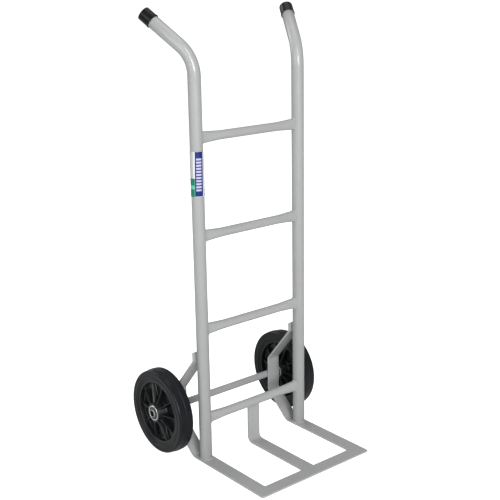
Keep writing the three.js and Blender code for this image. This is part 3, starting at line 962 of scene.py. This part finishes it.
def addRibs(name, side, spec, blade, tree):
    ribs = runTree(f"{name}HubRibs", tree, {
        "Copied Piece": blade, "Count": spec["ribs"], "Centre": axlePoint(side), "Material": hubNylon,
        # a blade stands up, so a quarter turn more brings it to the level
        "First Angle": math.pi / 2 + math.radians(spec["firstRib"]) * side,
    })
    settle(ribs, f"{name}_wheel", "hub_plastic", f"{name}_hub")


bearing = dict(
    radius=0.020, halfWidth=0.006, offset=0.0229, outerLand=0.0169, innerLand=0.0124,
    landEdge=0.0002, ball=0.0032, balls=7, cageHalf=0.0007, cageWidth=0.003,
    cageEdge=0.0001, sealHalf=0.0004, sealInset=0.0004,
    sealRim=0.0005,  # width of the seal's raised rims
    sealSlope=0.0004, chamfer=0.0006,
    fit=0.0001,  # room left round the axle and the balls
)
bearingFaces = dict(outboard=1, inboard=-1)
ballPitch = (bearing["outerLand"] + bearing["innerLand"]) / 2


def chamfered(inner, outer, half, edge):
    return [
        (outer, -half + edge), (outer, half - edge), (outer - edge, half), (inner + edge, half),
        (inner, half - edge), (inner, -half + edge), (inner + edge, -half), (outer - edge, -half),
    ]


def raceway(land, outside, spec, inward):
    # one race: a plain side, chamfered corners and a round groove for the balls
    half, edge, small = spec["halfWidth"], spec["chamfer"], spec["landEdge"]
    corner = [(outside, half - edge), (outside + inward * edge, half)]
    corner += [(land - inward * small, half), (land, half - small)]
    ball = spec["ball"] + spec["fit"]
    reach = math.sqrt(ball ** 2 - (land - ballPitch) ** 2)
    across = [reach * (1 - k / 4) for k in range(9)]
    groove = [(ballPitch - inward * math.sqrt(max(ball ** 2 - x ** 2, 0)), x) for x in across]
    return corner + groove + [(r, -x) for r, x in corner[::-1]]


def sealProfile(spec, out):
    # a ring with a raised rim at each side; the depth runs out of the bearing
    low, high = spec["innerLand"] + 0.00012, spec["outerLand"] - 0.00004
    thick, rim = spec["sealHalf"], spec["sealRim"]
    waist = rim + spec["sealSlope"]
    profile = [
        (high, -thick), (high, thick), (high - rim, thick), (high - waist, thick * 0.4),
        (low + waist, thick * 0.4), (low + rim, thick), (low, thick * 0.8), (low, -thick),
    ]
    middleX = spec["halfWidth"] - spec["sealInset"] - thick
    return [(r, out * (middleX + depth)) for r, depth in profile]


def makeBearing(name, side, face, spec, tree, ballPiece):
    x = bearingFaces[face] * spec["offset"]
    node = f"{name}_{face}_bearing"
    prefix = f"{name}{face.capitalize()}Bearing"
    wheel = f"{name}_wheel"
    outer = raceway(spec["outerLand"], spec["radius"], spec, -1)
    inner = raceway(spec["innerLand"], axleTube["radius"] + spec["fit"], spec, 1)
    rings = [
        ("OuterRace", outer, raceSteel, wheel, "bearing_steel", "_outer_race"),
        ("InnerRace", inner, raceSteel, "frame", "bearing_steel", "_inner_race"),
    ]
    for at, out in bearingFaces.items():
        title = f"{at.capitalize()}Seal"
        rings.append((title, sealProfile(spec, out), sealRubber, wheel, "seal_rubber", f"_{at}_seal"))
    for title, profile, material, body, slotName, part in rings:
        makeTurned(prefix + title, profile, material, side, (body, slotName, node + part), x)
    half = spec["cageHalf"]
    cage = chamfered(ballPitch - half, ballPitch + half, spec["cageWidth"], spec["cageEdge"])
    roles = (f"{name}_ball_cages", "ball_steel", node + "_ball_cage")
    makeTurned(prefix + "Cage", cage, plainZinc, side, roles, x, 84)
    row = runTree(prefix + "Balls", tree, {
        "Copied Piece": ballPiece, "Count": spec["balls"], "First Angle": 0.0,
        "Centre": axlePoint(side, x), "Material": ballSteel,
    })
    settle(row, *roles)


def makeBall(spec):
    bm = bmesh.new()
    bmesh.ops.create_uvsphere(bm, u_segments=24, v_segments=14, radius=spec["ball"])
    bm.transform(Matrix.Translation((0, 0, ballPitch)))
    return finishMesh("bearingBall", bm, ballSteel, sharpAngle=60)


sleeve = dict(radius=0.012, half=0.0166, edge=0.0005)
washer = dict(radius=0.015, half=0.00075, edge=0.0002)
pushRing = dict(
    radius=0.0128, rim=0.0006, toothRoot=0.0113,
    slot=0.0111,  # radius of the slots between the teeth
    teeth=8, toothSteps=8, slotSteps=4,
    lean=0.0006,  # how far a tooth's tip stands out
    rootLean=0.0001,
    back=0.00075,  # from its middle to its back face
    sheet=0.0008,
)


def makePushRing(name, side, spec):
    # a pressed ring whose teeth lean outward and bite on the axle
    x = abs(middle(f"{name}_retaining_ring").x) - wheelCentre.x - spec["back"]
    pitch = spec["toothSteps"] + spec["slotSteps"]

    def loop(radius, lean):
        points = []
        for j, p in enumerate(circle(1, spec["teeth"] * pitch)):
            inTooth = j % pitch < spec["toothSteps"]
            reach = radius if inTooth else max(radius, spec["slot"])
            points.append(Vector((x + (lean if inTooth else min(lean, spec["rootLean"])), *(p * reach))))
        return points

    outside = (spec["radius"], 0.0), (spec["radius"] - spec["rim"], 0.0)
    teeth = (spec["toothRoot"], spec["rootLean"]), (axleTube["radius"], spec["lean"])
    back = [loop(radius, lean) for radius, lean in outside + teeth]
    front = [[p + Vector((spec["sheet"], 0, 0)) for p in ring] for ring in back[::-1]]
    bm = skinOf(back + front)
    placeMesh(bm, axlePoint(side), side)
    finishMesh(f"{name}PushRing", bm, dullSpring, ("frame", "zinc_steel", f"{name}_retaining_ring"), 30)


def makeCollar(name, side, spec, title, node):
    # a plain steel ring on the axle
    bore = axleTube["radius"] + bearing["fit"]
    profile = chamfered(bore, spec["radius"], spec["half"], spec["edge"])
    x = abs(middle(f"{name}_{node}").x) - wheelCentre.x
    makeTurned(name + title, profile, plainZinc, side, ("frame", "zinc_steel", f"{name}_{node}"), x)


def makeAxle(spec):
    profile = chamfered(spec["radius"] - spec["wall"], spec["radius"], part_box("axle")[1].x, spec["chamfer"])
    roles = ("frame", "axle_paint", "axle")
    makeTurned("axleTube", profile, axlePaint, 0, roles, count=spec["sides"])


ringTree = makeRingOfCopies()
blade = makeRibBlade(hub)
ballPiece = makeBall(bearing)
makeAxle(axleTube)
for name, side in sides.items():
    makeTyre(name, side, tyre)
    makeHubBody(name, side, hub)
    addRibs(name, side, hub, blade, ringTree)
    for face in bearingFaces:
        makeBearing(name, side, face, bearing, ringTree, ballPiece)
    makeCollar(name, side, sleeve, "Sleeve", "bearing_sleeve")
    makeCollar(name, side, washer, "Washer", "axle_washer")
    makePushRing(name, side, pushRing)
bpy.data.objects.remove(blade)
bpy.data.objects.remove(ballPiece)
print("wheels made")

# welds

jointWeld = dict(
    bead=0.0014, spacing=0.0012, stretch=0.9, seed=7,
    tabSide=0.0098,  # beside the upright, on the bracket's tab
    tabBack=0.0140, tabTop=0.0005, tabLength=0.024,
    bracketInset=0.003,  # along the axle, above and below it on the bracket's back
    bracketBack=0.0083, bracketDrop=0.0072,
    centreHalf=0.016,  # across the centre strap's top, in front and behind
    centreSide=0.0032, centreTop=0.0002,
)
cornerWeld = dict(bead=0.0026, spacing=0.0014, stretch=0.85, seed=5, halfSpan=6)
footWeld = dict(bead=0.0019, spacing=0.0021, stretch=0.85, seed=11, out=0.0004, up=0.0003)


def makeWeldTree():
    # lays overlapping ripples of slightly uneven size along each line of the starting mesh
    inputs = {
        "Geometry": "Geometry", "Bead Radius": "Float", "Spacing": "Float",
        "Stretch": "Float", "Seed": "Int", "Material": "Material",
    }
    tree, given = newTree("weldBead", "GeometryNodeTree", inputs, ("Geometry", "Geometry"))
    line = shapeNode(tree, "MeshToCurve", {0: given["Geometry"]})
    even = shapeNode(tree, "ResampleCurve", {"Curve": line, "Length": given["Spacing"]}, mode="LENGTH")
    ripple = shapeNode(tree, "MeshUVSphere", {"Segments": 8, "Rings": 6, "Radius": given["Bead Radius"]})
    ripple = shapeNode(tree, "SetShadeSmooth", {0: ripple})
    fed = {"Vector": shapeNode(tree, "InputTangent")}
    turn = addNode(tree, "FunctionNodeAlignRotationToVector", fed, axis="Z").outputs[0]
    fed = {2: 0.82, 3: 1.12, "Seed": given["Seed"]}
    size = addNode(tree, "FunctionNodeRandomValue", fed, data_type="FLOAT").outputs[1]
    fed = {"X": size, "Y": size, "Z": given["Stretch"]}
    scale = addNode(tree, "ShaderNodeCombineXYZ", fed).outputs[0]
    fed = {"Points": even, "Instance": ripple, "Rotation": turn, "Scale": scale}
    return closeShapeTree(tree, shapeNode(tree, "InstanceOnPoints", fed), given["Material"])


def straight(start, run):
    points = [Vector([s + r * k / 6 for s, r in zip(start, run)]) for k in range(7)]
    return points, False


def mirrored(points):
    return [Vector((-p.x, p.y, p.z)) for p in points]


def jointLines(spec):
    # each line is (points, closed), in the places where the frame's pieces meet
    lines = []
    for ring in saddles:
        lines += [(ring, True), (mirrored(ring), True)]
    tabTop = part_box("left_side_strap")[1].z - spec["tabTop"]
    reach = flatBar["width"] / 2 - spec["bracketInset"]
    for side in sides.values():
        x = side * uprightX
        for way in (-1, 1):
            start = (x + way * spec["tabSide"], uprightY + spec["tabBack"], tabTop)
            lines.append(straight(start, (0, 0, -spec["tabLength"])))
        for way in (-1, 1):
            z = axleCentre.z + way * spec["bracketDrop"]
            start = (x - side * reach, axleCentre.y - spec["bracketBack"], z)
            lines.append(straight(start, (side * 2 * reach, 0, 0)))
    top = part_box("toe_centre_strap")[1].z - spec["centreTop"]
    for way in (-1, 1):
        y = uprightY + flatBar["centreSetback"] + way * spec["centreSide"]
        lines.append(straight((-spec["centreHalf"], y, top), (2 * spec["centreHalf"], 0, 0)))
    return lines


def cornerLines(spec):
    # heavier beads over the top and under the bottom of the crossbars' ends
    lines = []
    quarter = crossbar["sides"] // 4
    for ring in saddles:
        for turn in (quarter, 3 * quarter):
            part = ring[turn - spec["halfSpan"]:turn + spec["halfSpan"] + 1]
            lines += [(part, False), (mirrored(part), False)]
    return lines


def footLines(spec):
    lines = []
    for side in sides.values():
        foot = Vector((side * uprightX, uprightY, barThickness + spec["up"]))
        lines.append(([foot + p.to_3d() for p in circle(tubeRadius + spec["out"], 48)], True))
    return lines


def makeWelds(name, lines, spec, tree):
    bm = bmesh.new()
    for points, closed in lines:
        verts = [bm.verts.new(p) for p in points]
        pairs = list(zip(verts, verts[1:])) + ([(verts[-1], verts[0])] if closed else [])
        for pair in pairs:
            bm.edges.new(pair)
    start = bpy.data.meshes.new("weldLines")
    bm.to_mesh(start)
    bm.free()
    beads = runTree(name, tree, {
        "Bead Radius": spec["bead"], "Spacing": spec["spacing"], "Stretch": spec["stretch"],
        "Seed": spec["seed"], "Material": enamelPaint,
    }, start)
    settle(beads, "frame", "frame_paint")


weldTree = makeWeldTree()
makeWelds("jointWelds", jointLines(jointWeld), jointWeld, weldTree)
makeWelds("cornerWelds", cornerLines(cornerWeld), cornerWeld, weldTree)
makeWelds("footWelds", footLines(footWeld), footWeld, weldTree)
print("welds made")

# floor and lights

paleFloor = dict(size=120.0, drop=0.0005, color=(0.72, 0.72, 0.72, 1), roughness=0.8, glow=0.95)


def makeFloor(spec):
    bm = bmesh.new()
    bmesh.ops.create_grid(bm, x_segments=1, y_segments=1, size=spec["size"] / 2)
    material = bpy.data.materials.new("paleFloor")
    material.use_nodes = True
    tree = material.node_tree
    seen = addNode(tree, "ShaderNodeLightPath").outputs["Is Camera Ray"]
    fed = {"Base Color": spec["color"], "Roughness": spec["roughness"]}
    fed.update({"Emission Color": (1, 1, 1, 1), "Emission Strength": times(seen, spec["glow"])})
    for key, value in fed.items():
        feed(tree.nodes["Principled BSDF"].inputs[key], value)
    floor = finishMesh("floor", bm, material)
    floor.location.z = -spec["drop"]


studio = dict(
    world=0.3, aim=(0, 0, 0.5),
    lamps=dict(
        key=dict(place=(-2.4, -6.3, 2.6), size=2.7, power=360.0),
        fill=dict(place=(-3.0, -0.6, 1.6), size=1.6, power=22.0),
        top=dict(place=(0.2, 0.3, 3.4), size=2.0, power=15.0),
        back=dict(place=(-1.2, 3.0, 2.2), size=2.0, power=36.0),
        glint=dict(place=(-1.35, -3.4, 3.8), size=0.9, power=34.0),
    ),
)


def makeLights(spec):
    # the backdrop is seen white, but lights the truck only dimly
    world = bpy.data.worlds.new("studio")
    world.use_nodes = True
    tree = world.node_tree
    background = tree.nodes["Background"]
    background.inputs["Color"].default_value = (1, 1, 1, 1)
    seen = addNode(tree, "ShaderNodeLightPath").outputs["Is Camera Ray"]
    feed(background.inputs["Strength"], calc("MAXIMUM", seen, spec["world"]))
    scene.world = world
    for name, light in spec["lamps"].items():
        data = bpy.data.lights.new(name, "AREA")
        data.size = light["size"]
        data.energy = light["power"]
        lamp = bpy.data.objects.new(name, data)
        lamp.location = light["place"]
        aim = Vector(spec["aim"]) - Vector(light["place"])
        lamp.rotation_euler = aim.to_track_quat("-Z", "Y").to_euler()
        scene.collection.objects.link(lamp)


makeFloor(paleFloor)
makeLights(studio)
scene.view_settings.view_transform = "Standard"
print("floor and lights placed")
